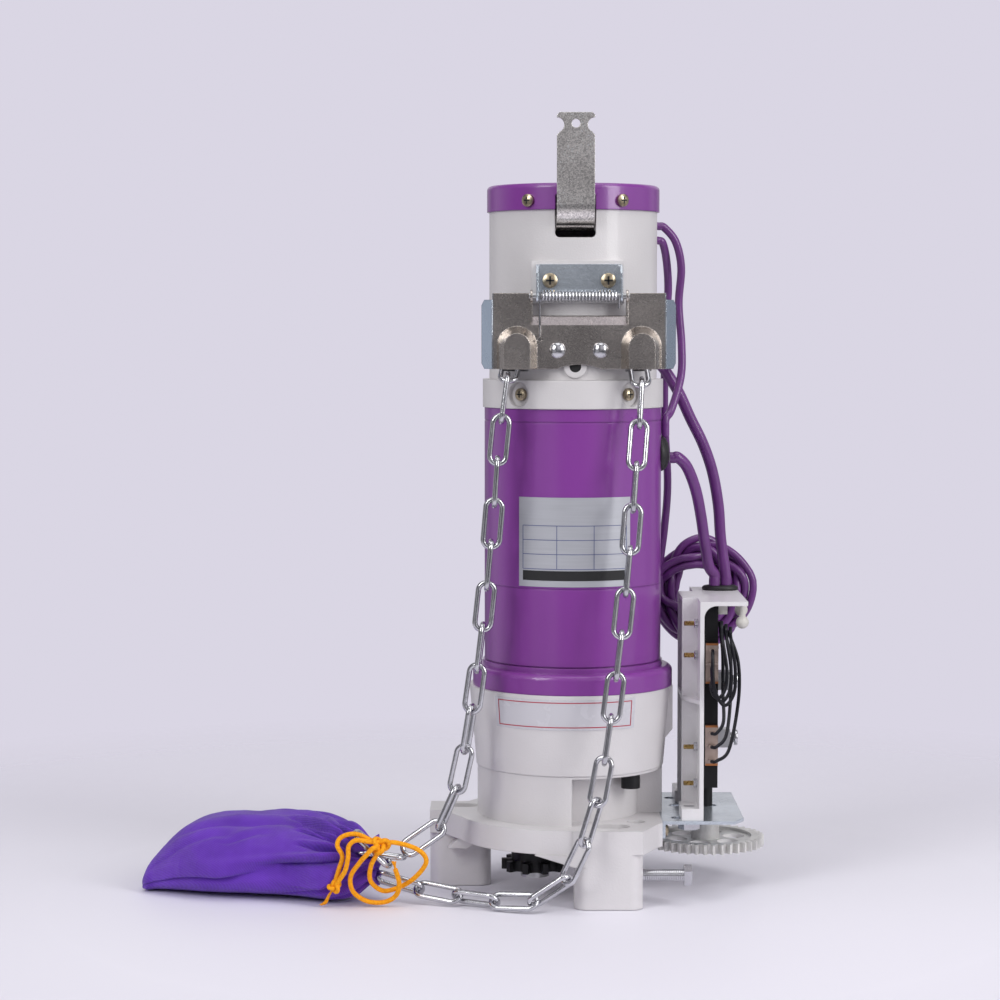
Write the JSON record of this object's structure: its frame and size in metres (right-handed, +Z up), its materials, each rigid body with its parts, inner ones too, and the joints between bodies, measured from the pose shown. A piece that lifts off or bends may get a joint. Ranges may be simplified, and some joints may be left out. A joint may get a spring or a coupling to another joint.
{
  "type": "roller door operator",
  "caption": "Upright brake motor on a footed reduction case with drive sprocket, hand-chain head with sprung guide plate, release lever, geared limit switch unit and chain bag.",
  "frame": {"origin": "the output shaft's axis on the plane of the feet's seats, which is the centre of the mounting hole circle", "axes": "+Z up along the output shaft and the motor, +X towards the limit unit, -Y the side of the chain guide plate"},
  "size_m": [0.4393, 0.1812, 0.5386],
  "materials": {
    "white_paint": "gloss",
    "purple_paint": "gloss",
    "zinc_sheet": "satin",
    "blue_zinc": "satin",
    "bright_steel": "gloss",
    "machined_steel": "satin",
    "yellow_zinc": "satin",
    "black_oxide": "satin",
    "lamination": "matte",
    "copper_wire": "satin",
    "cast_gear": "satin",
    "black_plastic": "matte",
    "tan_plastic": "matte",
    "white_plastic": "matte",
    "brass": "satin",
    "label": "satin",
    "strip": "gloss",
    "black_rubber": "matte",
    "purple_cable": "satin",
    "black_wire": "satin",
    "bag_cloth": "matte",
    "orange_cord": "matte"
  },
  "bodies": {
    "housing": {"base_casting": "white_paint", "reduction_case": "white_paint", "case_screw": "black_oxide", "shield_ring": "purple_paint", "motor_tube": "purple_paint", "stator_core": "lamination", "stator_winding": "copper_wire", "end_bell": "white_paint", "bell_screws": "yellow_zinc", "motor_bearings": "machined_steel", "chain_head": "white_paint", "brake_magnet": "machined_steel", "cap": "purple_paint", "cap_screws": "yellow_zinc", "lever_pin": "machined_steel", "output_bearings": "machined_steel", "output_seal": "black_rubber", "guide_bracket": "zinc_sheet", "bracket_screws": "yellow_zinc", "hinge_pin": "machined_steel", "torsion_spring": "bright_steel", "name_plate": "label", "lower_plate": "strip", "tension_bolt": "bright_steel", "mounting_angle": "blue_zinc", "angle_screws": "yellow_zinc", "limit_frame": "white_paint", "frame_bolts": "bright_steel", "switch_block": "black_plastic", "micro_switches": "tan_plastic", "switch_screws": "brass", "wire_block": "white_plastic", "spindle_bush": "black_plastic", "guide_rod": "machined_steel", "gland_rubbers": "black_rubber", "motor_cable": "purple_cable", "supply_cable": "purple_cable", "brake_cable": "purple_cable", "hank_lead": "purple_cable", "cable_hank": "purple_cable", "switch_wires": "black_wire", "hand_chain": "bright_steel", "chain_bag": "bag_cloth", "bag_cord": "orange_cord"},
    "motor_rotor": {"rotor": "lamination", "rotor_shaft": "machined_steel", "chain_wheel": "machined_steel", "brake_disc": "machined_steel"},
    "lay_shaft": {"lay_gear": "machined_steel"},
    "output": {"output_shaft": "machined_steel", "output_gear": "machined_steel", "sprocket": "black_oxide"},
    "armature": {"brake_armature": "machined_steel"},
    "lever": {"release_lever": "zinc_sheet"},
    "guide": {"guide_plate": "zinc_sheet", "guide_rivets": "bright_steel"},
    "limit_spindle": {"limit_gear": "cast_gear", "spindle": "machined_steel"},
    "upper_travel_nut": {"upper_nut": "black_plastic"},
    "lower_travel_nut": {"lower_nut": "black_plastic"}
  },
  "joints": [
    {"name": "rotor_spin", "type": "hinge", "parent": "housing", "child": "motor_rotor", "pos_m": [0.0265, 0.0215, 0.25], "axis": [0, 0, 1], "continuous": true},
    {"name": "lay_spin", "type": "hinge", "parent": "housing", "child": "lay_shaft", "pos_m": [0.00067, 0.03266, 0.11], "axis": [0, 0, 1], "continuous": true},
    {"name": "output_spin", "type": "hinge", "parent": "housing", "child": "output", "pos_m": [0, 0, 0.05], "axis": [0, 0, 1], "continuous": true},
    {"name": "release_pull", "type": "hinge", "parent": "housing", "child": "lever", "pos_m": [0.0265, -0.0235, 0.4651], "axis": [1, 0, 0], "range_deg": [0, 10], "stiffness_Nm_per_rad": 0.6, "springref_deg": -2.86},
    {"name": "armature_lift", "type": "slide", "parent": "housing", "child": "armature", "axis": [0, 0, 1], "range_m": [0, 0.0004]},
    {"name": "guide_swing", "type": "hinge", "parent": "housing", "child": "guide", "pos_m": [0.029, -0.044, 0.4156], "axis": [-1, 0, 0], "range_deg": [0, 20], "stiffness_Nm_per_rad": 0.2, "springref_deg": -5.73, "deforming": ["torsion_spring"]},
    {"name": "limit_spin", "type": "hinge", "parent": "housing", "child": "limit_spindle", "pos_m": [0.122, 0.04, 0.1], "axis": [0, 0, 1], "range_deg": [-1440, 1440]},
    {"name": "upper_nut_travel", "type": "slide", "parent": "housing", "child": "upper_travel_nut", "axis": [0, 0, 1], "range_m": [-0.008, 0.008]},
    {"name": "lower_nut_travel", "type": "slide", "parent": "housing", "child": "lower_travel_nut", "axis": [0, 0, 1], "range_m": [-0.008, 0.008]}
  ],
  "couplings": [
    {"joint": "lay_spin", "follows": "rotor_spin", "ratio": -0.27273},
    {"joint": "output_spin", "follows": "rotor_spin", "ratio": 0.081818},
    {"joint": "armature_lift", "follows": "release_pull", "m_per_rad": 0.00228},
    {"joint": "upper_nut_travel", "follows": "limit_spin", "m_per_rad": 0.000318},
    {"joint": "lower_nut_travel", "follows": "limit_spin", "m_per_rad": 0.000318}
  ]
}
